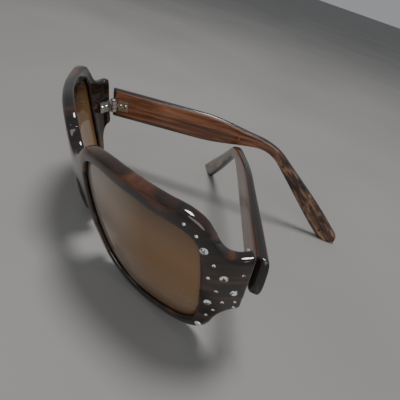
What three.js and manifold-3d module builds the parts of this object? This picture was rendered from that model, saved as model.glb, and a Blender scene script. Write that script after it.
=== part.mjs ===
// Cat eye sunglasses: a moulded wrap front with two tinted lenses, stone-set end pieces,
// and two broad temples on riveted three-knuckle hinges, half folded as laid down on a table.
// Millimetres, +Z up, the front faces -Y, the temples run back along +Y, +X is the wearer's left.
import * as THREE from 'three';
import { mergeVertices } from 'three/addons/utils/BufferGeometryUtils.js';
import Module from 'manifold-3d';

const wasm = await Module();
wasm.setup();

// ---- driving dimensions ----
const FACE = {
  radius: 98.8,          // plan radius of the front
  wrapStart: 58.8,       // distance from the centre line where the end piece starts to wrap
  wrapLength: 14.8,
  wrapAngle: 0.482,      // extra turn of the end piece, radians
  verticalRadius: 198,
  tilt: 0.138,           // pantoscopic tilt, radians
  thickness: 4.4,
};
const RIM = { steps: 44, lip: 1.25, grooveDepth: 1.2 };
const ROUND = { fine: 0.35, small: 0.3, edge: 0.9, shoulder: 1.1, back: 1, swell: 0.15 };
const LENS = { thickness: 1.4, inset: 0.85, steps: 40, rings: 3 };
const TEMPLE = {
  straight: 83.4, ear: 62, bend: 0.733, bendRadius: 23,
  thickness: 3.6, buttThickness: 4.6, thinBy: 50,
  buttHeight: 14.6, neckHeight: 5.2, tipHeight: 9.4,
  taperStart: 45, inward: 12, inwardFrom: 42, pitch: -0.06,
  innerOffset: 2.15,     // inner face to hinge axis
  clearance: 0.25,
};
const MITRE = { angle: 0.42, behind: 0.3, fade: 12 };  // slant of the joint between end piece and temple
const NOSE_PAD = { size: [1.9, 3.4, 8], s: 9.3, z: -9, behind: 0.6, lean: -0.28, splay: 0.5 };
const FOLD = { left: 1.014, right: 0.684 };   // how far each temple is folded in, radians
const HINGE = { s: 76.2, barrel: 1.85, bore: 0.85, knuckle: 1.7, gap: 0.2, leaf: 0.9, leafGap: 0.3 };
const LEAF = { length: 7.4, halfHeight: 2.75, rivets: [3.6, 6.1] };
const POCKET = 0.3;                          // clearance around each leaf
const PIN = { radius: 0.7, head: 1.4, headHeight: 0.7 };
const RIVET = { radius: 0.55, head: 0.95, headHeight: 0.4, depth: 1.6, fit: 0.15 };
const STAND = { angle: 0.151, lift: 25.49, back: -63.665, aside: 0.255 };  // on both rims and tips
const BIG_STONE = { radius: 1.3, crown: 0.55, depth: 0.75, seat: 0.2 };
const SMALL_STONE = { radius: 0.58, crown: 0.3, depth: 0.4, seat: 0.15 };

// Opening and outside outline of one rim, as pairs [s, z]: distance from the centre line, height.
const OPENING = [[12.4, 20.8], [20, 23.2], [32, 22.6], [44.4, 21.2], [55, 19.6], [59.6, 16.4],
  [61, 9], [61.2, -2], [60.2, -13], [57.6, -20.4], [52, -23.8], [40, -25.2], [29, -24],
  [19, -18.6], [13.6, -8], [10.4, 4], [9.6, 14.6]];
const OUTSIDE = [[9.5, 24.4], [19.5, 27.4], [32, 27.6], [45, 26.6], [56.6, 25.2], [62.4, 21.6],
  [66, 11], [67, -2], [66.4, -14], [62, -23.4], [54.6, -28.4], [40.5, -29.6], [27.5, -28.8],
  [15.6, -23.2], [9, -10.6], [5.4, 4], [4.6, 16.4]];
const BRIDGE = { half: 7.3, top: 17.8, rise: 4.8, bottom: 5, fall: 5.5, steps: 6 };
// End piece: [s, top, bottom] along its length.
const END_PIECE = [[63.6, 20.2, -20.8], [65, 17.8, -17.4], [66.8, 15.6, -14.2], [68.6, 14.2, -12.2],
  [70.6, 13.3, -10.9], [72.6, 12.8, -10.3], [74.6, 12.7, -10.1], [76.6, 12.6, -10.1],
  [78.6, 12.6, -10.1], [80.6, 12.6, -10.1]];
const BIG_STONES = [[61.8, 15.6], [68.2, 5.8], [71.6, -0.8], [64, -6.7], [60.2, -22]];
const SMALL_STONES = [[59.2, 20], [55.3, 22.4], [65, 10.8], [63.8, 5.2], [73.6, 7], [66.4, -0.4],
  [68.4, -5.8], [65.7, -10.5], [63.4, -14.2], [71.9, -8.2], [72.2, -5.4]];

// ---- mesh helpers ----
function geometryOf(positions, indices) {
  const geometry = new THREE.BufferGeometry();
  geometry.setAttribute('position', new THREE.Float32BufferAttribute(positions, 3));
  geometry.setIndex(indices);
  return geometry;
}

function signedVolume(geometry) {
  const p = geometry.attributes.position;
  const index = geometry.index.array;
  const [a, b, c] = [new THREE.Vector3(), new THREE.Vector3(), new THREE.Vector3()];
  let sum = 0;
  for (let i = 0; i < index.length; i += 3) {
    a.fromBufferAttribute(p, index[i]);
    b.fromBufferAttribute(p, index[i + 1]);
    c.fromBufferAttribute(p, index[i + 2]);
    sum += a.dot(b.cross(c)) / 6;
  }
  return sum;
}

function faceOutward(geometry) {
  if (signedVolume(geometry) >= 0) return geometry;
  const index = geometry.index.array;
  for (let i = 0; i < index.length; i += 3) [index[i], index[i + 1]] = [index[i + 1], index[i]];
  return geometry;
}

// A closed solid through rings of points; a closed loft joins its last ring to its first.
function loft(rings, isLoop) {
  const count = rings[0].length;
  const positions = rings.flat().flatMap((p) => [p.x, p.y, p.z]);
  const indices = [];
  const spans = isLoop ? rings.length : rings.length - 1;
  for (let i = 0; i < spans; i++) {
    const next = (i + 1) % rings.length;
    for (let j = 0; j < count; j++) {
      const k = (j + 1) % count;
      const [a, b, c, d] = [i * count + j, i * count + k, next * count + k, next * count + j];
      indices.push(a, b, c, a, c, d);
    }
  }
  if (!isLoop) {
    for (const [ring, first, turn] of [[rings[0], 0, 1], [rings.at(-1), (rings.length - 1) * count, 0]]) {
      const centre = ring.reduce((sum, p) => sum.add(p), new THREE.Vector3()).divideScalar(count);
      const hub = positions.length / 3;
      positions.push(centre.x, centre.y, centre.z);
      for (let j = 0; j < count; j++) {
        const [a, b] = [first + j, first + (j + 1) % count];
        indices.push(hub, turn ? b : a, turn ? a : b);
      }
    }
  }
  return faceOutward(geometryOf(positions, indices));
}

// Positions only, shared vertices merged, no collapsed triangles, faces outward.
function closed(geometry) {
  const bare = geometry.clone();
  bare.deleteAttribute('normal');
  bare.deleteAttribute('uv');
  const merged = mergeVertices(bare, 1e-4);
  const kept = [];
  const index = merged.index.array;
  for (let i = 0; i < index.length; i += 3) {
    const [a, b, c] = index.slice(i, i + 3);
    if (a !== b && b !== c && c !== a) kept.push(a, b, c);
  }
  merged.setIndex(kept);
  return faceOutward(merged);
}

function solidOf(geometry) {
  const merged = closed(geometry);
  return new wasm.Manifold(new wasm.Mesh({
    numProp: 3,
    vertProperties: new Float32Array(merged.attributes.position.array),
    triVerts: new Uint32Array(merged.index.array),
  }));
}

function geometryFrom(solid) {
  const mesh = solid.getMesh();
  return geometryOf(Array.from(mesh.vertProperties), Array.from(mesh.triVerts));
}

function joined(geometries) {
  return geometries.map(solidOf).reduce((whole, piece) => whole.add(piece));
}

function material(color, roughness, metalness = 0) {
  return new THREE.MeshStandardMaterial({ color, roughness, metalness });
}

function namedMesh(name, geometry, finish) {
  const mesh = new THREE.Mesh(geometry, finish);
  mesh.name = name;
  return mesh;
}

// ---- the curved face ----
function planPoint(s) {
  const base = 1 / FACE.radius;
  const spans = [[FACE.wrapStart, base],
    [FACE.wrapLength, base + FACE.wrapAngle / FACE.wrapLength], [Infinity, base]];
  let [x, y, angle, left] = [0, 0, 0, Math.abs(s)];
  for (const [length, curvature] of spans) {
    const run = Math.min(left, length);
    const turned = angle + run * curvature;
    x += (Math.sin(turned) - Math.sin(angle)) / curvature;
    y += (Math.cos(angle) - Math.cos(turned)) / curvature;
    angle = turned;
    left -= run;
  }
  const side = Math.sign(s) || 1;
  return { x: side * x, y, angle: side * angle };
}

// A point of the front: s along the face, z up it, depth in from its front surface.
function facePoint(s, z, depth) {
  const plan = planPoint(s);
  const x = plan.x - Math.sin(plan.angle) * depth;
  const y = plan.y + Math.cos(plan.angle) * depth + (z * z) / (2 * FACE.verticalRadius);
  const [c, n] = [Math.cos(FACE.tilt), Math.sin(FACE.tilt)];
  return new THREE.Vector3(x, y * c - z * n, y * n + z * c);
}

function faceNormal(s, z) {
  const step = 0.1;
  const along = facePoint(s + step, z, 0).sub(facePoint(s - step, z, 0));
  const up = facePoint(s, z + step, 0).sub(facePoint(s, z - step, 0));
  return along.cross(up).normalize();
}

function outline(points, count) {
  const curve = new THREE.CatmullRomCurve3(
    points.map(([s, z]) => new THREE.Vector3(s, z, 0)), true, 'centripetal');
  return Array.from({ length: count }, (_, i) => curve.getPoint(i / count));
}

// ---- front frame ----
function rimGeometry(side) {
  const [inner, outer] = [outline(OPENING, RIM.steps), outline(OUTSIDE, RIM.steps)];
  const t = FACE.thickness;
  const rings = inner.map((a, i) => {
    const b = outer[i];
    const width = a.distanceTo(b);
    const at = (offset, depth) => {
      const p = a.clone().lerp(b, offset / width);
      return facePoint(side * p.x, p.y, depth);
    };
    const thirds = [width * 0.4, width * 0.7];
    const { fine, small, edge, shoulder, back, swell } = ROUND;
    return [at(0, fine), at(fine, 0), ...thirds.map((w) => at(w, -swell)), at(width - edge, 0),
      at(width - small, fine), at(width, shoulder), at(width, t - back),
      at(width - small, t - small), at(width - edge, t),
      ...thirds.toReversed().map((w) => at(w, t)), at(fine, t),
      at(0, t - fine), at(0, t - RIM.lip), at(RIM.grooveDepth, t - RIM.lip),
      at(RIM.grooveDepth, RIM.lip), at(0, RIM.lip)];
  });
  return loft(rings, true);
}

// A strip of the face between two heights, with rounded edges.
function stripGeometry(stations, thickness) {
  const { fine, small, edge, shoulder, back, swell } = ROUND;
  const rings = stations.map(([s, top, bottom]) => {
    const height = top - bottom;
    const levels = [0.25, 0.5, 0.75].map((f) => bottom + height * f);
    const at = (z, depth) => facePoint(s, z, depth);
    return [at(bottom, shoulder), at(bottom + small, fine), at(bottom + edge, 0),
      ...levels.map((z) => at(z, -swell)), at(top - edge, 0), at(top - small, fine),
      at(top, shoulder), at(top, thickness - back), at(top - small, thickness - small),
      at(top - edge, thickness), ...levels.toReversed().map((z) => at(z, thickness)),
      at(bottom + edge, thickness), at(bottom + small, thickness - small),
      at(bottom, thickness - back)];
  });
  return loft(rings, false);
}

function bridgeGeometry() {
  const stations = Array.from({ length: 2 * BRIDGE.steps + 1 }, (_, i) => {
    const f = i / BRIDGE.steps - 1;
    return [f * BRIDGE.half, BRIDGE.top + BRIDGE.rise * f * f, BRIDGE.bottom - BRIDGE.fall * f * f];
  });
  return stripGeometry(stations, FACE.thickness);
}

function nosePadGeometry(side) {
  const pad = new THREE.SphereGeometry(1, 14, 10).scale(...NOSE_PAD.size);
  pad.rotateY(side * NOSE_PAD.lean);
  pad.rotateZ(side * NOSE_PAD.splay);
  const place = facePoint(side * NOSE_PAD.s, NOSE_PAD.z, FACE.thickness + NOSE_PAD.behind);
  return pad.translate(place.x, place.y, place.z);
}

function boxGeometry(x0, x1, y0, y1, z0, z1) {
  return new THREE.BoxGeometry(x1 - x0, y1 - y0, z1 - z0)
    .translate((x0 + x1) / 2, (y0 + y1) / 2, (z0 + z1) / 2);
}

// Pitches and lifts the whole part so that it stands on z = 0.
const standing = new THREE.Group();
standing.rotation.x = STAND.angle;
standing.position.set(STAND.aside, STAND.back, STAND.lift);
standing.updateMatrixWorld();

// The small flat that a piece rests on, cut in the piece's own frame.
function flattenAtFloor(solid, toWorld) {
  const below = solidOf(boxGeometry(-200, 200, -300, 300, -60, 0));
  return solid.subtract(below.transform(toWorld.clone().invert().elements));
}

function hingeAxisPoint(side) {
  const p = facePoint(side * HINGE.s, 0, FACE.thickness + TEMPLE.innerOffset);
  return new THREE.Vector3(p.x, p.y, p.z - 0.2);
}

const aligned = (direction) => new THREE.Quaternion()
  .setFromUnitVectors(new THREE.Vector3(0, 0, 1), direction);

function placed(geometry, origin, direction) {
  return geometry.clone().applyQuaternion(aligned(direction)).translate(origin.x, origin.y, origin.z);
}

function cylinder(radius, low, high, segments = 16) {
  return new THREE.CylinderGeometry(radius, radius, high - low, segments)
    .rotateX(Math.PI / 2).translate(0, 0, (low + high) / 2);
}

// ---- hinge ----
const zLevels = (n) => {                     // the n-th knuckle's lower and upper end
  const pitch = HINGE.knuckle + HINGE.gap;
  return [(n - 1) * pitch - HINGE.knuckle / 2, (n - 1) * pitch + HINGE.knuckle / 2];
};

// In the hinge's own frame: axis along Z, the leaf running along +Y at x = side * offset.
function leafSolid(side, knuckles) {
  const outer = side * (TEMPLE.innerOffset - HINGE.leafGap);
  const plate = [outer - side * HINGE.leaf, outer].sort((a, b) => a - b);
  let solid = solidOf(boxGeometry(...plate, HINGE.barrel + 0.3, LEAF.length, -LEAF.halfHeight,
    LEAF.halfHeight));
  for (const n of knuckles) {
    const [low, high] = zLevels(n);
    solid = solid.add(solidOf(cylinder(HINGE.barrel, low, high)));
    const web = [side * 0.9, outer].sort((a, b) => a - b);
    solid = solid.add(solidOf(boxGeometry(...web, 0, HINGE.barrel + 0.8, low, high)));
  }
  solid = solid.subtract(solidOf(cylinder(HINGE.bore, -9, 9)));
  for (const y of LEAF.rivets) {
    solid = solid.subtract(solidOf(rivetHole().translate(0, y, 0)));
  }
  return solid;
}

function rivetHole() {
  return new THREE.CylinderGeometry(RIVET.radius + RIVET.fit, RIVET.radius + RIVET.fit, 12, 12)
    .rotateZ(Math.PI / 2);
}

// A rivet with its head on the leaf and its shank in the plastic, along side * x.
function rivetGeometry(side) {
  const seat = TEMPLE.innerOffset - HINGE.leafGap - HINGE.leaf - 0.05;
  const end = TEMPLE.innerOffset + RIVET.depth;
  const profile = [[0, end], [RIVET.radius, end], [RIVET.radius, seat], [RIVET.head, seat],
    [RIVET.head * 0.8, seat - RIVET.headHeight * 0.75], [RIVET.head * 0.4, seat - RIVET.headHeight],
    [0, seat - RIVET.headHeight]].map(([r, z]) => new THREE.Vector2(r, z));
  const geometry = new THREE.LatheGeometry(profile, 12).rotateZ(-side * Math.PI / 2);
  return closed(geometry);
}

function screwGeometry() {
  const top = zLevels(2)[1] + 0.2;
  const bottom = zLevels(0)[0] + 0.3;
  const profile = [[0, bottom], [PIN.radius, bottom], [PIN.radius, top], [PIN.head, top],
    [PIN.head, top + PIN.headHeight * 0.6], [PIN.head * 0.75, top + PIN.headHeight],
    [0, top + PIN.headHeight]].map(([r, z]) => new THREE.Vector2(r, z));
  const solid = solidOf(new THREE.LatheGeometry(profile, 16).rotateX(Math.PI / 2));
  const slot = boxGeometry(-2, 2, -0.2, 0.2, top + PIN.headHeight * 0.55, top + 2);
  return geometryFrom(solid.subtract(solidOf(slot)));
}

// ---- temples ----
function ease(a, b, x) {
  const f = THREE.MathUtils.clamp((x - a) / (b - a), 0, 1);
  return f * f * (3 - 2 * f);
}

function templeHeight(u) {
  const end = TEMPLE.straight + TEMPLE.ear;
  const body = TEMPLE.buttHeight + (TEMPLE.neckHeight - TEMPLE.buttHeight)
    * ease(TEMPLE.taperStart, TEMPLE.straight, u);
  const ear = (TEMPLE.tipHeight - TEMPLE.neckHeight) * ease(TEMPLE.straight, end - 14, u);
  const rounding = TEMPLE.tipHeight / 2;
  const over = Math.max(0, (u - (end - rounding)) / rounding);
  return (body + ear) * Math.sqrt(Math.max(0.03, 1 - over * over));
}

function templeCentre(u) {
  const { straight, bend, bendRadius, inward } = TEMPLE;
  const start = straight - bendRadius * Math.tan(bend / 2);
  const angle = THREE.MathUtils.clamp((u - start) / bendRadius, 0, bend);
  const rest = Math.max(0, u - start - bendRadius * bend);
  const y = Math.min(u, start) + bendRadius * Math.sin(angle) + rest * Math.cos(bend);
  const z = -bendRadius * (1 - Math.cos(angle)) - rest * Math.sin(bend);
  const f = Math.max(0, u - TEMPLE.inwardFrom) / 100;
  return { y, z, angle, inward: inward * f * f };
}

function templeGeometry(side) {
  const end = TEMPLE.straight + TEMPLE.ear;
  const stations = [0, 0.7, 6, 14, 24, 34, 44];
  for (let u = 50; u < end - 6; u += 4) stations.push(u);
  for (const back of [5.2, 3.6, 2.2, 1.1, 0.3, 0]) stations.push(end - back);
  const rings = stations.map((u, i) => {
    const trim = i === 0 ? 0.4 : 0;
    const half = templeHeight(u) / 2 - trim;
    const { y, z, angle, inward } = templeCentre(u);
    const nearEnd = THREE.MathUtils.clamp((end - u) / 4, 0.35, 1);
    const full = TEMPLE.buttThickness
      + (TEMPLE.thickness - TEMPLE.buttThickness) * ease(0, TEMPLE.thinBy, u);
    const thick = full * nearEnd - 2 * trim;
    const middle = TEMPLE.innerOffset + full / 2 - inward;
    const slant = Math.tan(MITRE.angle) * Math.max(0, 1 - u / MITRE.fade);
    const r = Math.min(0.9, half * 0.45);
    const profile = [[-0.5, -half + r], [-0.32, -half + 0.3 * r], [0, -half], [0.32, -half + 0.3 * r],
      [0.5, -half + r], [0.56, 0], [0.5, half - r], [0.32, half - 0.3 * r], [0, half],
      [-0.32, half - 0.3 * r], [-0.5, half - r], [-0.5, 0]];
    return profile.map(([w, v]) => new THREE.Vector3(side * (middle + w * thick),
      y + v * Math.sin(angle) + TEMPLE.clearance - slant * (middle + w * thick),
      z + v * Math.cos(angle)));
  });
  return loft(rings, false);
}

// ---- lenses ----
function lensGeometry(side) {
  const edge = outline(OPENING, LENS.steps);
  const centre = edge.reduce((sum, p) => sum.add(p), new THREE.Vector3()).divideScalar(LENS.steps);
  const front = (FACE.thickness - LENS.thickness) / 2;
  const ringAt = (fraction, depth) => edge.map((p) => {
    const away = p.clone().sub(centre);
    const reach = (away.length() + LENS.inset) / away.length();
    const q = centre.clone().addScaledVector(away, reach * fraction);
    return facePoint(side * q.x, q.y, depth);
  });
  const fractions = Array.from({ length: LENS.rings }, (_, i) => (i + 1) / LENS.rings);
  return loft([...fractions.map((f) => ringAt(f, front + LENS.thickness)),
    ...fractions.toReversed().map((f) => ringAt(f, front))], false);
}

// ---- stones ----
function stoneGeometry(size) {
  const sides = size === BIG_STONE ? 8 : 6;
  const profile = [[0, -size.depth], [size.radius, -0.05], [size.radius, 0.1],
    [size.radius * 0.55, size.crown], [0, size.crown]].map(([r, z]) => new THREE.Vector2(r, z));
  const turned = new THREE.LatheGeometry(profile, sides).rotateX(Math.PI / 2);
  return closed(turned);
}

function socketGeometry(size) {
  return cylinder(size.radius + size.seat, -size.depth - 0.25, 2, size === BIG_STONE ? 12 : 8);
}

function stonePlaces(side) {
  const place = (size) => ([s, z]) => ({ size, origin: facePoint(side * s, z, -0.1),
    direction: faceNormal(s, z).multiply(new THREE.Vector3(side, 1, 1)) });
  return [...BIG_STONES.map(place(BIG_STONE)), ...SMALL_STONES.map(place(SMALL_STONE))];
}

// ---- assembly ----
const finish = {
  frame: material(0x2b1a12, 0.18),
  lens: material(0x6a4a2c, 0.08),
  temple: material(0x5a3520, 0.25),
  steel: material(0xb9b7b0, 0.28, 1),
  stone: material(0xe6ebf0, 0.05),
};
const SIDES = [['left', 1, FOLD.left], ['right', -1, FOLD.right]];

function frontFrame() {
  const pieces = [bridgeGeometry()];
  for (const [, side] of SIDES) {
    pieces.push(rimGeometry(side), nosePadGeometry(side));
    pieces.push(stripGeometry(END_PIECE.map(([s, top, bottom]) => [side * s, top, bottom]),
      FACE.thickness));
  }
  let frame = joined(pieces);
  for (const [, side] of SIDES) {
    const joint = new THREE.Matrix4().makeRotationZ(-side * MITRE.angle)
      .setPosition(hingeAxisPoint(side));
    const behindJoint = boxGeometry(-40, 40, -MITRE.behind, 40, -40, 40).applyMatrix4(joint);
    frame = frame.subtract(solidOf(behindJoint));
    for (const { size, origin, direction } of stonePlaces(side)) {
      frame = frame.subtract(solidOf(placed(socketGeometry(size), origin, direction)));
    }
    const frontLeaf = frontLeafMatrix(side);
    frame = frame.subtract(hingePocket(-side).transform(frontLeaf.elements));
    for (const y of LEAF.rivets) {
      const hole = blindHole(-side, y).applyMatrix4(frontLeaf);
      frame = frame.subtract(solidOf(hole));
    }
  }
  return flattenAtFloor(frame, standing.matrixWorld);
}

// The front leaf lies along the back of the end piece, from the barrel towards the nose.
function frontLeafMatrix(side) {
  const axis = hingeAxisPoint(side);
  const run = facePoint(side * (HINGE.s - LEAF.length), 0, FACE.thickness)
    .sub(facePoint(side * HINGE.s, 0, FACE.thickness));
  return new THREE.Matrix4().makeRotationZ(Math.atan2(-run.x, run.y)).setPosition(axis);
}

// Room for one leaf and the barrel in the plastic behind it.
function hingePocket(side) {
  const [deep, shallow] = [side * (TEMPLE.innerOffset - HINGE.leafGap + POCKET), 0];
  const reach = LEAF.halfHeight + POCKET;
  const box = boxGeometry(Math.min(deep, shallow), Math.max(deep, shallow), -HINGE.barrel,
    LEAF.length + POCKET, -reach, reach);
  return solidOf(box).add(solidOf(cylinder(HINGE.barrel + POCKET, -reach, reach, 24)));
}

for (const [name, side, fold] of SIDES) {
  const lens = namedMesh(`lens_${name}`, lensGeometry(side), finish.lens);
  standing.add(lens);

  const axis = hingeAxisPoint(side);
  const frontHinge = new THREE.Group();
  frontHinge.applyMatrix4(frontLeafMatrix(side));
  const leaf = geometryFrom(leafSolid(-side, [0, 2]));
  frontHinge.add(namedMesh(`hinge_front_leaf_${name}`, leaf, finish.steel));
  frontHinge.add(namedMesh(`hinge_screw_${name}`, screwGeometry(), finish.steel));
  standing.add(frontHinge);

  const arm = new THREE.Group();
  arm.position.copy(axis);
  arm.rotation.z = side * fold;
  const templeLeaf = geometryFrom(leafSolid(side, [1]));
  arm.add(namedMesh(`hinge_temple_leaf_${name}`, templeLeaf, finish.steel));
  const templeFrame = new THREE.Group();
  templeFrame.rotation.x = TEMPLE.pitch;
  arm.add(templeFrame);
  standing.add(arm);
  standing.updateMatrixWorld(true);
  let temple = solidOf(templeGeometry(side));
  const untilt = new THREE.Matrix4().makeRotationX(-TEMPLE.pitch);
  temple = temple.subtract(hingePocket(side).transform(untilt.elements));
  for (const y of LEAF.rivets) {
    const hole = blindHole(side, y).applyMatrix4(untilt);
    temple = temple.subtract(solidOf(hole));
  }
  temple = flattenAtFloor(temple, templeFrame.matrixWorld);
  templeFrame.add(namedMesh(`temple_${name}`, geometryFrom(temple), finish.temple));
  LEAF.rivets.forEach((y, i) => {
    const rivetFront = namedMesh(`rivet_front_${name}_${i + 1}`, rivetGeometry(-side), finish.steel);
    rivetFront.position.y = y;
    frontHinge.add(rivetFront);
    const rivetTemple = namedMesh(`rivet_temple_${name}_${i + 1}`, rivetGeometry(side), finish.steel);
    rivetTemple.position.y = y;
    arm.add(rivetTemple);
  });

  stonePlaces(side).forEach(({ size, origin, direction }, i) => {
    const kind = size === BIG_STONE ? 'big' : 'small';
    const number = size === BIG_STONE ? i + 1 : i + 1 - BIG_STONES.length;
    const stone = namedMesh(`stone_${kind}_${name}_${number}`, stoneGeometry(size), finish.stone);
    stone.quaternion.copy(aligned(direction));
    stone.position.copy(origin);
    standing.add(stone);
  });
}

// A blind hole for a rivet in the plastic behind its leaf.
function blindHole(side, y) {
  const reach = TEMPLE.innerOffset + RIVET.depth + 0.3;
  return new THREE.CylinderGeometry(RIVET.radius + RIVET.fit, RIVET.radius + RIVET.fit, 6, 12)
    .rotateZ(Math.PI / 2).translate(side * (reach - 3), y, 0);
}

standing.add(namedMesh('front_frame', geometryFrom(frontFrame()), finish.frame));

const sunglasses = new THREE.Group();
sunglasses.add(standing);
export default sunglasses;
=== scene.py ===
"""Cat eye sunglasses: moulded front, tinted lenses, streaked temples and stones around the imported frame."""
import math

import bmesh
import bpy
import numpy as np
from mathutils import Matrix, Vector
from mathutils.kdtree import KDTree


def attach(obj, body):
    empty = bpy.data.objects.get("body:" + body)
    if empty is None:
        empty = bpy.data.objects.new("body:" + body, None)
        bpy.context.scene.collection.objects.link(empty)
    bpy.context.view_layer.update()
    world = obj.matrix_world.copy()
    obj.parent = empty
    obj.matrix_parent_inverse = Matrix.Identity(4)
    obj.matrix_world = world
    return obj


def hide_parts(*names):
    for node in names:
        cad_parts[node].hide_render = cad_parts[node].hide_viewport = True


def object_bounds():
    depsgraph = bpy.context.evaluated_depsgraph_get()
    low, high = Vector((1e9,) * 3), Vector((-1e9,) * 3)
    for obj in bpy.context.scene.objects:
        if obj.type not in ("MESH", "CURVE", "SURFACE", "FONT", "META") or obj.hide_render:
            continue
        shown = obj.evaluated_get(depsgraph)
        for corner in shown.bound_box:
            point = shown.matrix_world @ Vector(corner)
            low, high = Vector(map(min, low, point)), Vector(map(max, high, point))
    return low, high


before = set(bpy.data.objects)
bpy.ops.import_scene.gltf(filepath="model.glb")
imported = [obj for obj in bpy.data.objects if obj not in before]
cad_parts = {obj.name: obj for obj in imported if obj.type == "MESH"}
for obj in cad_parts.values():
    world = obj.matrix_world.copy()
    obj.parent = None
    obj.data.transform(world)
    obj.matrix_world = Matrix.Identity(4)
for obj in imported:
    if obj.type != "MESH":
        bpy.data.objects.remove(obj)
cad_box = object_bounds()

MM = 0.001
SIDES = {"left": 1, "right": -1}

# ---- driving dimensions, millimetres and radians, as in the CAD model ----
RADIUS, WRAP_START, WRAP_LENGTH, WRAP_ANGLE = 98.8, 58.8, 14.8, 0.482
VERTICAL_RADIUS, TILT, THICK = 198.0, 0.138, 4.4
STAND_ANGLE, STAND_ASIDE, STAND_BACK, STAND_LIFT = 0.151, 0.255, -63.665, 25.49
HINGE_S, AXIS_OFFSET, AXIS_DROP = 76.2, 2.15, 0.2
MITRE, MITRE_BEHIND, MITRE_FADE = 0.42, 0.3, 12.0
STRAIGHT, EAR, BEND, BEND_RADIUS = 83.4, 62.0, 0.733, 23.0
TEMPLE_THICK, BUTT_THICK, THIN_BY = 3.6, 4.6, 50.0
BUTT, NECK, TIP = 14.6, 5.2, 9.4
TAPER_START, INWARD, INWARD_FROM, PITCH, CLEARANCE = 45.0, 12.0, 42.0, -0.06, 0.25
TIP_FULL_BEFORE_END, TIP_THINS_OVER = 14, 4
BUTT_ROUND, BUTT_ROUND_LENGTH = 0.35, 0.7
FOLD = {"left": 1.014, "right": 0.684}

OPENING = [(12.4, 20.8), (20, 23.2), (32, 22.6), (44.4, 21.2), (55, 19.6), (59.6, 16.4), (61, 9),
           (61.2, -2), (60.2, -13), (57.6, -20.4), (52, -23.8), (40, -25.2), (29, -24), (19, -18.6),
           (13.6, -8), (10.4, 4), (9.6, 14.6)]
OUTSIDE = [(9.5, 24.4), (19.5, 27.4), (32, 27.6), (45, 26.6), (56.6, 25.2), (62.4, 21.6), (66, 11),
           (67, -2), (66.4, -14), (62, -23.4), (54.6, -28.4), (40.5, -29.6), (27.5, -28.8),
           (15.6, -23.2), (9, -10.6), (5.4, 4), (4.6, 16.4)]
END_PIECE = [(63.6, 20.2, -20.8), (65, 17.8, -17.4), (66.8, 15.6, -14.2), (68.6, 14.2, -12.2),
             (70.6, 13.3, -10.9), (72.6, 12.8, -10.3), (74.6, 12.7, -10.1), (76.6, 12.6, -10.1),
             (78.6, 12.6, -10.1), (80.6, 12.6, -10.1)]
BRIDGE_HALF, BRIDGE_TOP, BRIDGE_RISE, BRIDGE_BOTTOM, BRIDGE_FALL = 7.3, 17.8, 4.8, 5.0, 5.5
GROOVE, LIP = 1.2, 1.25
LENS_THICK, LENS_REACH, LENS_BULGE = 1.4, 0.8, 1.003
NOSE_PAD = {"s": 9.3, "z": -9, "behind": 0.6, "turn": 0.5, "lean": -0.28, "half_size": (1.9, 3.4, 8)}
BIG_STONES = [(61.8, 15.6), (68.2, 5.8), (71.6, -0.8), (64, -6.7), (60.2, -22)]
SMALL_STONES = [(59.2, 20), (55.3, 22.4), (65, 10.8), (63.8, 5.2), (73.6, 7), (66.4, -0.4),
                (68.4, -5.8), (65.7, -10.5), (63.4, -14.2), (71.9, -8.2), (72.2, -5.4)]
STONE_RADIUS, STONE_DEPTH = {"big": 1.3, "small": 0.58}, -0.1

# ---- choices of the visual model only ----
VOXEL, VOXEL_QUICK, SMOOTH_FACTOR, SMOOTH_ROUNDS = 0.34, 0.6, 0.5, 9
SECTION_SQUARENESS = {"across": 0.5, "up": 0.62}
METAL_EDGE, METAL_EDGE_ANGLE = 0.09, 40
GRAIN_GAP = 40  # keeps the streaks of the two temples apart
HAIR = 2e-6  # metres kept inside the CAD box


# ---- the curved face, in the front's own frame ----
def plan_point(s):
    base = 1 / RADIUS
    spans = [(WRAP_START, base), (WRAP_LENGTH, base + WRAP_ANGLE / WRAP_LENGTH), (1e9, base)]
    x = y = angle = 0.0
    left = abs(s)
    for length, curvature in spans:
        turned = angle + min(left, length) * curvature
        x += (math.sin(turned) - math.sin(angle)) / curvature
        y += (math.cos(angle) - math.cos(turned)) / curvature
        angle = turned
        left -= min(left, length)
    side = -1 if s < 0 else 1
    return side * x, y, side * angle


def face_point(s, z, depth):
    px, py, angle = plan_point(s)
    x = px - math.sin(angle) * depth
    y = py + math.cos(angle) * depth + z * z / (2 * VERTICAL_RADIUS)
    c, n = math.cos(TILT), math.sin(TILT)
    return Vector((x, y * c - z * n, y * n + z * c))


def face_normal(s, z):
    step = 0.1
    along = face_point(s + step, z, 0) - face_point(s - step, z, 0)
    up = face_point(s, z + step, 0) - face_point(s, z - step, 0)
    return along.cross(up).normalized()


STANDING = (Matrix.Translation((STAND_ASIDE * MM, STAND_BACK * MM, STAND_LIFT * MM))
            @ Matrix.Rotation(STAND_ANGLE, 4, "X") @ Matrix.Scale(MM, 4))


def smooth_loop(points, count):
    """Closed centripetal Catmull-Rom curve, count points, by equal steps between the given ones."""
    pts = [Vector(p) for p in points]
    total = len(pts)
    out = []
    for i in range(count):
        f = i / count * total
        k = int(f)
        f -= k
        p0, p1, p2, p3 = (pts[(k + j) % total] for j in (-1, 0, 1, 2))
        d0, d1, d2 = ((b - a).length ** 0.5 for a, b in ((p0, p1), (p1, p2), (p2, p3)))
        m1 = ((p1 - p0) / d0 - (p2 - p0) / (d0 + d1) + (p2 - p1) / d1) * d1
        m2 = ((p2 - p1) / d1 - (p3 - p1) / (d1 + d2) + (p3 - p2) / d2) * d1
        a, b = 2 * (p1 - p2) + m1 + m2, -3 * (p1 - p2) - 2 * m1 - m2
        out.append(((a * f + b) * f + m1) * f + p1)
    return out


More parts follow.
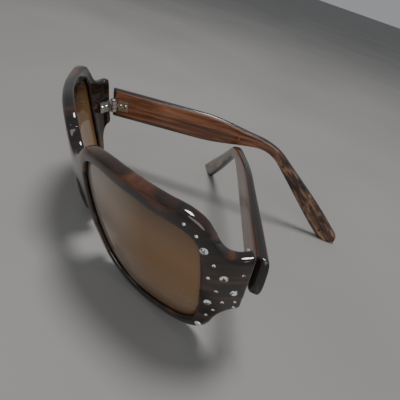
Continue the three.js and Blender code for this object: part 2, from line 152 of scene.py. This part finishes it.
# ---- mesh helpers ----
def loft(rings, is_loop=False):
    """Vertices and faces of a closed tube through rings of points; open ends get fans."""
    count = len(rings[0])
    verts = [p for ring in rings for p in ring]
    faces = []
    for i in range(len(rings) if is_loop else len(rings) - 1):
        k = (i + 1) % len(rings)
        for j in range(count):
            n = (j + 1) % count
            faces.append((i * count + j, i * count + n, k * count + n, k * count + j))
    if not is_loop:
        for first, turn in ((0, True), ((len(rings) - 1) * count, False)):
            hub = len(verts)
            verts.append(sum(verts[first:first + count], Vector()) / count)
            for j in range(count):
                a, b = first + j, first + (j + 1) % count
                faces.append((hub, b, a) if turn else (hub, a, b))
    return verts, faces


def mesh_object(name, verts, faces, matrix=None, smooth=True):
    mesh = bpy.data.meshes.new(name)
    mesh.from_pydata([tuple(v) for v in verts], [], faces)
    work = bmesh.new()
    work.from_mesh(mesh)
    bmesh.ops.recalc_face_normals(work, faces=work.faces)
    work.to_mesh(mesh)
    work.free()
    if matrix is not None:
        mesh.transform(matrix)
    mesh.polygons.foreach_set("use_smooth", [smooth] * len(mesh.polygons))
    piece = bpy.data.objects.new(name, mesh)
    bpy.context.scene.collection.objects.link(piece)
    return piece


def baked(piece):
    """Replaces a piece's mesh by the result of its modifiers."""
    graph = bpy.context.evaluated_depsgraph_get()
    mesh = bpy.data.meshes.new_from_object(piece.evaluated_get(graph))
    piece.modifiers.clear()
    piece.data = mesh
    return piece


def grain_attribute(piece, values):
    """Stores one vector per vertex for the materials; what its parts mean is up to each piece."""
    layer = piece.data.attributes.new("grain", "FLOAT_VECTOR", "POINT")
    layer.data.foreach_set("vector", np.asarray(values, dtype=np.float32).ravel())


# ---- materials ----
def new_material(name, **sockets):
    material = bpy.data.materials.new(name)
    material.use_nodes = True
    shader = material.node_tree.nodes["Principled BSDF"]
    for key, value in sockets.items():
        shader.inputs[key.replace("_", " ")].default_value = value
    return material, material.node_tree, shader


def node(tree, kind, values=None, **settings):
    made = tree.nodes.new(kind)
    for key, value in settings.items():
        setattr(made, key, value)
    for key, value in (values or {}).items():
        made.inputs[key].default_value = value
    return made


def link(tree, source, target):
    tree.links.new(source, target)


def ramp(tree, source, stops):
    made = node(tree, "ShaderNodeValToRGB")
    while len(made.color_ramp.elements) < len(stops):
        made.color_ramp.elements.new(0.5)
    for element, (place, color) in zip(made.color_ramp.elements, stops):
        element.position = place
        element.color = (*color, 1)
    link(tree, source, made.inputs["Fac"])
    return made.outputs["Color"]


def fine_bump(tree, shader, vector, scale, distance):
    wear = node(tree, "ShaderNodeTexNoise", {"Scale": scale, "Detail": 3.0})
    bump = node(tree, "ShaderNodeBump", {"Strength": 0.35, "Distance": distance})
    link(tree, vector, wear.inputs["Vector"])
    link(tree, wear.outputs["Fac"], bump.inputs["Height"])
    link(tree, bump.outputs["Normal"], shader.inputs["Normal"])
    return wear


def stretched(tree, source, scale, turn=(0, 0, 0)):
    mapping = node(tree, "ShaderNodeMapping", {"Scale": scale, "Rotation": turn})
    link(tree, source, mapping.inputs["Vector"])
    return mapping.outputs["Vector"]


def roughness_from(tree, shader, value, low, high):
    spread = node(tree, "ShaderNodeMapRange", {"To Min": low, "To Max": high})
    link(tree, value, spread.inputs["Value"])
    link(tree, spread.outputs["Result"], shader.inputs["Roughness"])


def tortoise(name):
    """Dark polished tortoise: near black, with red-brown streaks running along the face."""
    material, tree, shader = new_material(name, Roughness=0.1, Coat_Weight=0.6, Coat_Roughness=0.04,
                                          IOR=1.5)
    grain = node(tree, "ShaderNodeAttribute", attribute_name="grain").outputs["Vector"]
    streaks = node(tree, "ShaderNodeTexNoise", {"Scale": 1.0, "Detail": 4.0, "Roughness": 0.5,
                                               "Distortion": 0.9})
    link(tree, stretched(tree, grain, (0.055, 0.20, 0), (0, 0, -0.25)), streaks.inputs["Vector"])
    color = ramp(tree, streaks.outputs["Fac"], [
        (0.44, (0.006, 0.004, 0.004)), (0.53, (0.022, 0.009, 0.005)),
        (0.62, (0.065, 0.023, 0.010)), (0.76, (0.15, 0.058, 0.024))])
    link(tree, color, shader.inputs["Base Color"])
    place = node(tree, "ShaderNodeTexCoord").outputs["Object"]
    wear = fine_bump(tree, shader, place, 700.0, 0.000004)
    roughness_from(tree, shader, wear.outputs["Fac"], 0.05, 0.12)
    return material


def streaked(name):
    """Brown temple plastic: warm streaks along the arm, darker along the top and bottom edges and at both
    ends, mottled ear piece.
    """
    material, tree, shader = new_material(name, Roughness=0.2, Coat_Weight=0.5, Coat_Roughness=0.1,
                                          IOR=1.5)
    grain = node(tree, "ShaderNodeAttribute", attribute_name="grain").outputs["Vector"]
    streaks = node(tree, "ShaderNodeTexNoise", {"Scale": 1.0, "Detail": 6.0, "Roughness": 0.6,
                                               "Distortion": 0.6})
    link(tree, stretched(tree, grain, (0.028, 0.42, 0.3), (0, 0, 0.06)), streaks.inputs["Vector"])
    body = ramp(tree, streaks.outputs["Fac"], [
        (0.34, (0.065, 0.024, 0.012)), (0.48, (0.19, 0.070, 0.036)), (0.60, (0.34, 0.140, 0.072)),
        (0.74, (0.48, 0.24, 0.13))])
    mottle = node(tree, "ShaderNodeTexNoise", {"Scale": 1.0, "Detail": 3.0, "Distortion": 0.8})
    link(tree, stretched(tree, grain, (0.11, 0.5, 0.3), (0, 0, 0.75)), mottle.inputs["Vector"])
    ear = ramp(tree, mottle.outputs["Fac"], [
        (0.38, (0.02, 0.010, 0.007)), (0.5, (0.10, 0.045, 0.025)), (0.64, (0.30, 0.17, 0.10))])
    split = node(tree, "ShaderNodeSeparateXYZ")
    link(tree, grain, split.inputs["Vector"])
    to_ear = node(tree, "ShaderNodeMapRange", {"From Min": STRAIGHT - 16, "From Max": STRAIGHT + 14})
    link(tree, split.outputs["X"], to_ear.inputs["Value"])
    both = node(tree, "ShaderNodeMix", data_type="RGBA")
    link(tree, to_ear.outputs["Result"], both.inputs["Factor"])
    link(tree, body, both.inputs["A"])
    link(tree, ear, both.inputs["B"])
    # darkens the top and bottom edges of the arm and its ends, where the grain's third part nears 1
    edge = node(tree, "ShaderNodeMapRange", {"From Min": 0.80, "From Max": 0.99})
    link(tree, split.outputs["Z"], edge.inputs["Value"])
    dark = node(tree, "ShaderNodeMix", {"B": (0.012, 0.009, 0.008, 1)}, data_type="RGBA")
    link(tree, edge.outputs["Result"], dark.inputs["Factor"])
    link(tree, both.outputs["Result"], dark.inputs["A"])
    link(tree, dark.outputs["Result"], shader.inputs["Base Color"])
    wear = fine_bump(tree, shader, grain, 1.3, 0.00002)
    roughness_from(tree, shader, wear.outputs["Fac"], 0.16, 0.28)
    return material


def tinted_lens(name):
    """Brown tint, denser at the brow, clearer towards the cheek, with a painted grey reflection towards the
    nose.
    """
    material, tree, shader = new_material(name, Roughness=0.03, IOR=1.5, Coat_Weight=0.4,
                                          Coat_Roughness=0.02)
    grain = node(tree, "ShaderNodeAttribute", attribute_name="grain").outputs["Vector"]
    split = node(tree, "ShaderNodeSeparateXYZ")
    link(tree, grain, split.inputs["Vector"])
    fade = node(tree, "ShaderNodeMapRange", {"From Min": -26, "From Max": 24})
    link(tree, split.outputs["Y"], fade.inputs["Value"])
    haze = node(tree, "ShaderNodeTexNoise", {"Scale": 0.05, "Detail": 2.0})
    link(tree, grain, haze.inputs["Vector"])
    shift = node(tree, "ShaderNodeMath", {1: 0.12}, operation="MULTIPLY_ADD")
    link(tree, haze.outputs["Fac"], shift.inputs[0])
    link(tree, fade.outputs["Result"], shift.inputs[2])
    amber = ramp(tree, shift.outputs["Value"], [
        (0.0, (0.21, 0.14, 0.09)), (0.35, (0.28, 0.16, 0.075)), (0.7, (0.26, 0.14, 0.06)),
        (1.0, (0.12, 0.065, 0.032))])
    # painted reflection: the tint is mixed towards grey near the nose, standing in for the sheen of the
    # surroundings on the lens
    nose_sheen = node(tree, "ShaderNodeMapRange", {"From Min": 40, "From Max": 12})
    link(tree, split.outputs["X"], nose_sheen.inputs["Value"])
    color = node(tree, "ShaderNodeMix", {"B": (0.37, 0.31, 0.265, 1)}, data_type="RGBA")
    link(tree, nose_sheen.outputs["Result"], color.inputs["Factor"])
    link(tree, amber, color.inputs["A"])
    link(tree, color.outputs["Result"], shader.inputs["Base Color"])
    density = node(tree, "ShaderNodeMapRange", {"To Min": 0.74, "To Max": 0.90})
    link(tree, fade.outputs["Result"], density.inputs["Value"])
    link(tree, density.outputs["Result"], shader.inputs["Alpha"])
    return material


def plated_metal(name):
    material, tree, shader = new_material(name, Metallic=1.0, Roughness=0.22)
    place = node(tree, "ShaderNodeTexCoord").outputs["Object"]
    brushed = fine_bump(tree, shader, stretched(tree, place, (400, 400, 3000)), 1.0, 0.00001)
    color = ramp(tree, brushed.outputs["Fac"], [(0.3, (0.52, 0.51, 0.49)), (0.7, (0.78, 0.77, 0.75))])
    link(tree, color, shader.inputs["Base Color"])
    roughness_from(tree, shader, brushed.outputs["Fac"], 0.16, 0.34)
    return material


def crystal(name):
    """Foil-backed stone: every facet gets its own painted brightness, from near black to warm white, standing
    in for its glints and dark reflections.
    """
    material, tree, shader = new_material(name, Metallic=0.35, Roughness=0.06, Coat_Weight=1.0,
                                          Coat_Roughness=0.01, Coat_IOR=1.9)
    facing = node(tree, "ShaderNodeNewGeometry").outputs["True Normal"]
    spread = node(tree, "ShaderNodeVectorMath", {1: (9, 9, 9)}, operation="MULTIPLY")
    whole = node(tree, "ShaderNodeVectorMath", operation="FLOOR")
    # painted glints and dark reflections: a random brightness for each facet, picked from its facing
    facet_glint = node(tree, "ShaderNodeTexWhiteNoise")
    link(tree, facing, spread.inputs[0])
    link(tree, spread.outputs["Vector"], whole.inputs[0])
    link(tree, whole.outputs["Vector"], facet_glint.inputs["Vector"])
    color = ramp(tree, facet_glint.outputs["Value"], [(0.18, (0.02, 0.02, 0.03)), (0.3, (0.70, 0.72, 0.75)),
                                               (0.55, (1.0, 1.0, 1.0)), (0.95, (1.0, 0.95, 0.88))])
    link(tree, color, shader.inputs["Base Color"])
    return material


FINISH = {
    "tortoise_frame": tortoise("dark tortoise"),
    "tortoise_temple": streaked("streaked brown"),
    "tinted_lens": tinted_lens("brown gradient tint"),
    "hinge_metal": plated_metal("nickel plate"),
    "crystal": crystal("foil backed crystal"),
}


def dress(piece, slot, body, node_name):
    piece.data.materials.clear()
    piece.data.materials.append(FINISH[slot])
    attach(piece, body)
    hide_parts(node_name)


# ---- front frame ----
def rim(side, steps=200):
    """A closed ring of sections between opening and outside, with the lens groove on the inside."""
    inner, outer = smooth_loop(OPENING, steps), smooth_loop(OUTSIDE, steps)
    rings = []
    for a, b in zip(inner, outer):
        width = (b - a).length
        middle = [width * f for f in (0.3, 0.5, 0.7)]
        section = ([(0, 0.5), (0.15, 0.15), (0.5, 0)] + [(w, -0.1) for w in middle]
                   + [(width - 1.2, 0.02), (width - 0.5, 0.3), (width - 0.1, 0.8), (width, 1.4),
                      (width, THICK - 1.2), (width - 0.3, THICK - 0.3), (width - 1, THICK)]
                   + [(w, THICK) for w in reversed(middle)]
                   + [(0.5, THICK), (0.15, THICK - 0.15), (0, THICK - 0.5), (0, THICK - LIP),
                      (GROOVE, THICK - LIP), (GROOVE, LIP), (0, LIP)])
        ring = []
        for offset, depth in section:
            p = a.lerp(b, offset / width)
            ring.append(face_point(side * p.x, p.y, depth))
        rings.append(ring)
    return loft(rings, is_loop=True)


def strip(stations):
    """A bar of sections along the face, from (distance, top, bottom) stations."""
    rings = []
    for s, top, bottom in stations:
        levels = [bottom + (top - bottom) * f for f in (0.3, 0.45, 0.6, 0.75)]
        section = ([(bottom, 1.4), (bottom + 0.1, 0.8), (bottom + 0.5, 0.3), (bottom + 1.2, 0)]
                   + [(z, -0.12) for z in levels]
                   + [(top - 1.2, 0), (top - 0.5, 0.3), (top - 0.1, 0.8), (top, 1.4),
                      (top, THICK - 1), (top - 0.3, THICK - 0.3), (top - 1, THICK)]
                   + [(z, THICK) for z in reversed(levels)]
                   + [(bottom + 1, THICK), (bottom + 0.3, THICK - 0.3), (bottom, THICK - 1)])
        rings.append([face_point(s, z, depth) for z, depth in section])
    return loft(rings)


def between(stations, cuts):
    """More stations along a strip, eased between the given ones."""
    out = []
    for k in range(len(stations) - 1):
        before, after = stations[max(k - 1, 0)], stations[min(k + 2, len(stations) - 1)]
        a, b = stations[k], stations[k + 1]
        for i in range(cuts):
            f = i / cuts
            row = []
            for p0, p1, p2, p3 in zip(before, a, b, after):
                row.append(p1 + 0.5 * f * (p2 - p0 + f * (2 * p0 - 5 * p1 + 4 * p2 - p3
                                                         + f * (3 * (p1 - p2) + p3 - p0))))
            out.append(tuple(row))
    return out + [stations[-1]]


def bridge_stations(count=40):
    rows = []
    for i in range(count + 1):
        f = 2 * i / count - 1
        rows.append((f * BRIDGE_HALF, BRIDGE_TOP + BRIDGE_RISE * f * f,
                     BRIDGE_BOTTOM - BRIDGE_FALL * f * f))
    return rows


def nose_pad(side):
    ball = bmesh.new()
    bmesh.ops.create_uvsphere(ball, u_segments=32, v_segments=20, radius=1)
    place = face_point(side * NOSE_PAD["s"], NOSE_PAD["z"], THICK + NOSE_PAD["behind"])
    turn = (Matrix.Translation(place) @ Matrix.Rotation(side * NOSE_PAD["turn"], 4, "Z")
            @ Matrix.Rotation(side * NOSE_PAD["lean"], 4, "Y")
            @ Matrix.Diagonal((*NOSE_PAD["half_size"], 1)))
    verts = [turn @ v.co for v in ball.verts]
    faces = [tuple(v.index for v in f.verts) for f in ball.faces]
    ball.free()
    return verts, faces


def hinge_axis(side):
    p = face_point(side * HINGE_S, 0, THICK + AXIS_OFFSET)
    return Vector((p.x, p.y, p.z - AXIS_DROP))


def cut_behind_joint(side, verts, faces):
    """Cuts a closed mesh off along the slanting joint with the temple and closes it again."""
    normal = Vector((side * math.sin(MITRE), math.cos(MITRE), 0))
    work = bmesh.new()
    made = [work.verts.new(v) for v in verts]
    for f in faces:
        work.faces.new([made[i] for i in f])
    bmesh.ops.bisect_plane(work, geom=work.verts[:] + work.edges[:] + work.faces[:],
                           plane_co=hinge_axis(side) - MITRE_BEHIND * normal, plane_no=normal,
                           clear_outer=True)
    rim_edges = [e for e in work.edges if e.is_boundary]
    bmesh.ops.holes_fill(work, edges=rim_edges)
    bmesh.ops.triangulate(work, faces=[f for f in work.faces if len(f.verts) > 4])
    work.verts.index_update()
    out = [v.co.copy() for v in work.verts], [tuple(v.index for v in f.verts) for f in work.faces]
    work.free()
    return out


def face_grain(coords):
    """For every vertex of the front: distance along the face, height, and front or back side."""
    spread = [s / 2 for s in range(-165, 166)]
    tree = KDTree(2 * len(spread))
    places = [(s, depth) for s in spread for depth in (0, THICK)]
    for i, (s, depth) in enumerate(places):
        x, y, _ = face_point(s, 0, depth)
        tree.insert((x, y, 0), i)
    tree.balance()
    back = STANDING.inverted()
    c, n = math.cos(TILT), math.sin(TILT)
    grain = []
    for co in coords:
        p = back @ Vector(co)
        level = p.z * c - p.y * n
        flat = Vector((p.x, p.y * c + p.z * n - level * level / (2 * VERTICAL_RADIUS), 0))
        s, depth = places[tree.find(flat)[1]]
        grain.append((s, level, depth))
    return grain


def front_frame():
    parts = [strip(bridge_stations())]
    for side in SIDES.values():
        parts += [rim(side), nose_pad(side)]
        arm = strip(between([(side * s, top, bottom) for s, top, bottom in END_PIECE], 4))
        parts.append(cut_behind_joint(side, *arm))
    verts, faces = [], []
    for more, shape in parts:
        faces += [tuple(i + len(verts) for i in f) for f in shape]
        verts += more
    piece = mesh_object("moulded_front", verts, faces, STANDING)
    melt = piece.modifiers.new("melt", "REMESH")
    melt.mode = "VOXEL"
    melt.voxel_size = VOXEL * MM
    soften = piece.modifiers.new("ease", "SMOOTH")
    soften.factor, soften.iterations = SMOOTH_FACTOR, SMOOTH_ROUNDS
    baked(piece)
    coords = np.empty(len(piece.data.vertices) * 3)
    piece.data.vertices.foreach_get("co", coords)
    coords = coords.reshape(-1, 3)
    coords[:, 2] = np.maximum(coords[:, 2], cad_box[0][2] + HAIR)
    piece.data.vertices.foreach_set("co", coords.ravel())
    piece.data.polygons.foreach_set("use_smooth", [True] * len(piece.data.polygons))
    grain_attribute(piece, face_grain(coords))
    dress(piece, "tortoise_frame", "front", "front_frame")


# ---- lenses ----
def lens(name, side, rings_in=14, steps=120):
    """A curved lens: rings out over the back, round the edge and back in over the front."""
    edge = smooth_loop(OPENING, steps)
    centre = sum(edge, Vector((0, 0))) / steps
    front = (THICK - LENS_THICK) / 2
    rows, grain = [], []
    layout = [(f / rings_in, front + LENS_THICK) for f in range(1, rings_in + 1)]
    layout += [(LENS_BULGE, front + LENS_THICK / 2)]
    layout += [(f / rings_in, front) for f in range(rings_in, 0, -1)]
    for fraction, depth in layout:
        row = []
        for p in edge:
            away = p - centre
            q = centre + away * (1 + LENS_REACH / away.length) * fraction
            row.append(face_point(side * q.x, q.y, depth))
            grain.append((q.x, q.y, depth))
        rows.append(row)
    verts, faces = loft(rows)
    grain += [(centre.x, centre.y, 0)] * (len(verts) - len(grain))
    piece = mesh_object(f"tinted_lens_{name}", verts, faces, STANDING)
    grain_attribute(piece, grain)
    dress(piece, "tinted_lens", "front", f"lens_{name}")


# ---- temples ----
def ease(a, b, x):
    f = min(max((x - a) / (b - a), 0), 1)
    return f * f * (3 - 2 * f)


def temple_height(u):
    end = STRAIGHT + EAR
    body = BUTT + (NECK - BUTT) * ease(TAPER_START, STRAIGHT, u)
    ear = (TIP - NECK) * ease(STRAIGHT, end - TIP_FULL_BEFORE_END, u)
    over = max(0, (u - (end - TIP / 2)) / (TIP / 2))
    return (body + ear) * math.sqrt(max(0.015, 1 - over * over))


def temple_centre(u):
    """Along, up, slope and inward lean of the arm's centre line at a distance u from the butt."""
    start = STRAIGHT - BEND_RADIUS * math.tan(BEND / 2)
    angle = min(max((u - start) / BEND_RADIUS, 0), BEND)
    rest = max(0, u - start - BEND_RADIUS * BEND)
    y = min(u, start) + BEND_RADIUS * math.sin(angle) + rest * math.cos(BEND)
    z = -BEND_RADIUS * (1 - math.cos(angle)) - rest * math.sin(BEND)
    return y, z, angle, INWARD * (max(0, u - INWARD_FROM) / 100) ** 2


def temple_matrix(name, side):
    return (STANDING @ Matrix.Translation(hinge_axis(side)) @ Matrix.Rotation(side * FOLD[name], 4, "Z")
            @ Matrix.Rotation(PITCH, 4, "X"))


def temple(name, side, section_points=28):
    """One arm, lofted through rounded sections that sit closer together at both ends."""
    end = STRAIGHT + EAR
    stations = [0, 0.25, 0.7, 1.5] + [3 + 1.5 * i for i in range(int((end - 9) / 1.5))]
    stations += [end - back for back in (5.4, 4.6, 3.8, 3.1, 2.4, 1.7, 1.2, 0.8, 0.5, 0.3)]
    rings, grain = [], []
    for u in stations:
        y, z, angle, inward = temple_centre(u)
        trim = BUTT_ROUND * (1 - min(u / BUTT_ROUND_LENGTH, 1)) ** 2
        half = temple_height(u) / 2 - trim
        full = BUTT_THICK + (TEMPLE_THICK - BUTT_THICK) * ease(0, THIN_BY, u)
        thick = full * min(max((end - u) / TIP_THINS_OVER, 0.3), 1) ** 0.7 / 2 - trim
        middle = AXIS_OFFSET + full / 2 - inward
        slant = math.tan(MITRE) * max(0, 1 - u / MITRE_FADE)
        ring = []
        for j in range(section_points):
            turn = 2 * math.pi * j / section_points
            c, n = math.cos(turn), math.sin(turn)
            w = math.copysign(abs(c) ** SECTION_SQUARENESS["across"], c) * thick
            v = math.copysign(abs(n) ** SECTION_SQUARENESS["up"], n) * half
            ring.append(Vector((side * (middle + w),
                                y + v * math.sin(angle) + CLEARANCE - slant * (middle + w),
                                z + v * math.cos(angle))))
            grain.append((u, v + GRAIN_GAP * side, abs(v) / half if u > BUTT_ROUND_LENGTH else 1))
        rings.append(ring)
    verts, faces = loft(rings)
    grain += [(0, 0, 1), (end, 0, 1)]
    piece = mesh_object(f"streaked_temple_{name}", verts, faces, temple_matrix(name, side))
    for vertex in piece.data.vertices:
        vertex.co.z = max(vertex.co.z, cad_box[0][2] + HAIR)
        vertex.co.y = min(vertex.co.y, cad_box[1][1] - HAIR)
    grain_attribute(piece, grain)
    dress(piece, "tortoise_temple", f"{name}_temple", f"temple_{name}")


# ---- stones ----
def cut_stone(name, s, z, side, radius, replaced):
    """A brilliant: flat table, star and kite facets in two rows, girdle and a short pavilion."""
    count = 8
    rows = [(0.0, -0.45 * radius, 0), (radius, -0.06 * radius, 0), (radius, 0.05 * radius, 0),
            (0.80 * radius, 0.24 * radius, 0.5), (0.52 * radius, 0.40 * radius, 0)]
    verts, faces = [Vector((0, 0, rows[0][1]))], []
    for r, h, phase in rows[1:]:
        for j in range(count):
            turn = 2 * math.pi * (j + phase) / count
            verts.append(Vector((r * math.cos(turn), r * math.sin(turn), h)))
    row = [1 + k * count for k in range(4)]
    for j in range(count):
        n = (j + 1) % count
        faces.append((0, row[0] + n, row[0] + j))
        faces.append((row[0] + j, row[0] + n, row[1] + n, row[1] + j))
        faces.append((row[1] + j, row[1] + n, row[2] + j))
        faces.append((row[1] + n, row[2] + n, row[2] + j))
        faces.append((row[2] + j, row[3] + n, row[3] + j))
        faces.append((row[2] + j, row[2] + n, row[3] + n))
    faces.append(tuple(row[3] + j for j in range(count)))
    up = face_normal(s, z)
    up.x *= side
    aim = Vector((0, 0, 1)).rotation_difference(up).to_matrix().to_4x4()
    matrix = STANDING @ Matrix.Translation(face_point(side * s, z, STONE_DEPTH)) @ aim
    piece = mesh_object(name, verts, faces, matrix, smooth=False)
    dress(piece, "crystal", "front", replaced)


def stones():
    for side_name, side in SIDES.items():
        for kind, places in (("big", BIG_STONES), ("small", SMALL_STONES)):
            for i, (s, z) in enumerate(places, 1):
                label = f"{kind}_{side_name}_{i}"
                cut_stone(f"brilliant_{label}", s, z, side, STONE_RADIUS[kind], f"stone_{label}")


# ---- carried-over metal ----
def hinge_metal():
    for name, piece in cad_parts.items():
        if name.startswith(("hinge_", "rivet_")):
            piece.material_slots[0].material = FINISH["hinge_metal"]
            soft = piece.modifiers.new("soft edges", "BEVEL")
            soft.width, soft.segments, soft.limit_method = METAL_EDGE * MM, 2, "ANGLE"
            soft.angle_limit = math.radians(METAL_EDGE_ANGLE)


# ---- stage ----
CAMERA = {"azimuth": 56.7, "elevation": 33.2, "roll": 8.99, "distance": 160.8, "target_y": 47.7,
          "pan": 1.08, "raise": -4.55, "lens": 33.5}
FLOOR_HALF = 6.0
SKY_COLOR, SKY_STRENGTH = (0.80, 0.82, 0.85, 1), 0.38
AREA_LIGHTS = [("key", (-0.08, 0.05, 0.86), 0.28, 6.2, (1, 0.98, 0.95)),
               ("fill", (0.7, -0.5, 0.5), 0.8, 3.0, (1, 1, 1))]
LIGHT_TARGET = (0, 0, 0.02)


def camera():
    """The eye in polar form around the front's own frame, then rolled, panned and raised."""
    az, el, roll = (math.radians(CAMERA[k]) for k in ("azimuth", "elevation", "roll"))
    back = Vector((math.sin(az) * math.cos(el), -math.cos(az) * math.cos(el), math.sin(el)))
    place = Vector((0, CAMERA["target_y"], 0)) + back * CAMERA["distance"]
    ahead = -back
    right = ahead.cross(Vector((0, 0, 1))).normalized()
    up = right.cross(ahead)
    right, up = (right * math.cos(roll) + up * math.sin(roll),
                 up * math.cos(roll) - right * math.sin(roll))
    pan, lift = math.radians(CAMERA["pan"]), math.radians(CAMERA["raise"])
    ahead, right = (ahead * math.cos(pan) + right * math.sin(pan),
                    right * math.cos(pan) - ahead * math.sin(pan))
    ahead, up = (ahead * math.cos(lift) + up * math.sin(lift),
                 up * math.cos(lift) - ahead * math.sin(lift))
    turn = Matrix((right, up, -ahead)).transposed().to_4x4()
    stand = Matrix.Rotation(STAND_ANGLE, 4, "X")
    eye = bpy.data.objects.new("camera", bpy.data.cameras.new("camera"))
    bpy.context.scene.collection.objects.link(eye)
    eye.matrix_world = Matrix.Translation(STANDING @ place) @ stand @ turn
    eye.data.lens = CAMERA["lens"]
    eye.data.sensor_width = 36.0
    eye.data.clip_start = 0.005
    bpy.context.scene.camera = eye


def floor():
    half = FLOOR_HALF
    verts = [(-half, -half, 0), (half, -half, 0), (half, half, 0), (-half, half, 0)]
    ground = mesh_object("floor", verts, [(0, 1, 2, 3)])
    ground.location.z = cad_box[0][2]
    material, tree, shader = new_material("pale floor", Roughness=0.75)
    place = node(tree, "ShaderNodeTexCoord").outputs["Object"]
    tone = node(tree, "ShaderNodeTexNoise", {"Scale": 6.0, "Detail": 2.0})
    link(tree, place, tone.inputs["Vector"])
    color = ramp(tree, tone.outputs["Fac"], [
        (0.3, (0.215, 0.212, 0.205)), (0.7, (0.25, 0.247, 0.24))])
    link(tree, color, shader.inputs["Base Color"])
    ground.data.materials.append(material)


def area_light(name, place, size, power, color):
    lamp = bpy.data.objects.new(name, bpy.data.lights.new(name, "AREA"))
    bpy.context.scene.collection.objects.link(lamp)
    lamp.data.shape, lamp.data.size = "DISK", size
    lamp.data.energy, lamp.data.color = power, color
    lamp.location = place
    aim = Vector(LIGHT_TARGET) - Vector(place)
    lamp.rotation_euler = aim.to_track_quat("-Z", "Y").to_euler()


def lighting():
    world = bpy.data.worlds.new("studio")
    world.use_nodes = True
    backdrop = world.node_tree.nodes["Background"]
    backdrop.inputs["Color"].default_value = SKY_COLOR
    backdrop.inputs["Strength"].default_value = SKY_STRENGTH
    bpy.context.scene.world = world
    for light in AREA_LIGHTS:
        area_light(*light)


front_frame()
for side_name, side_sign in SIDES.items():
    lens(side_name, side_sign)
    temple(side_name, side_sign)
stones()
hinge_metal()
floor()
lighting()
camera()
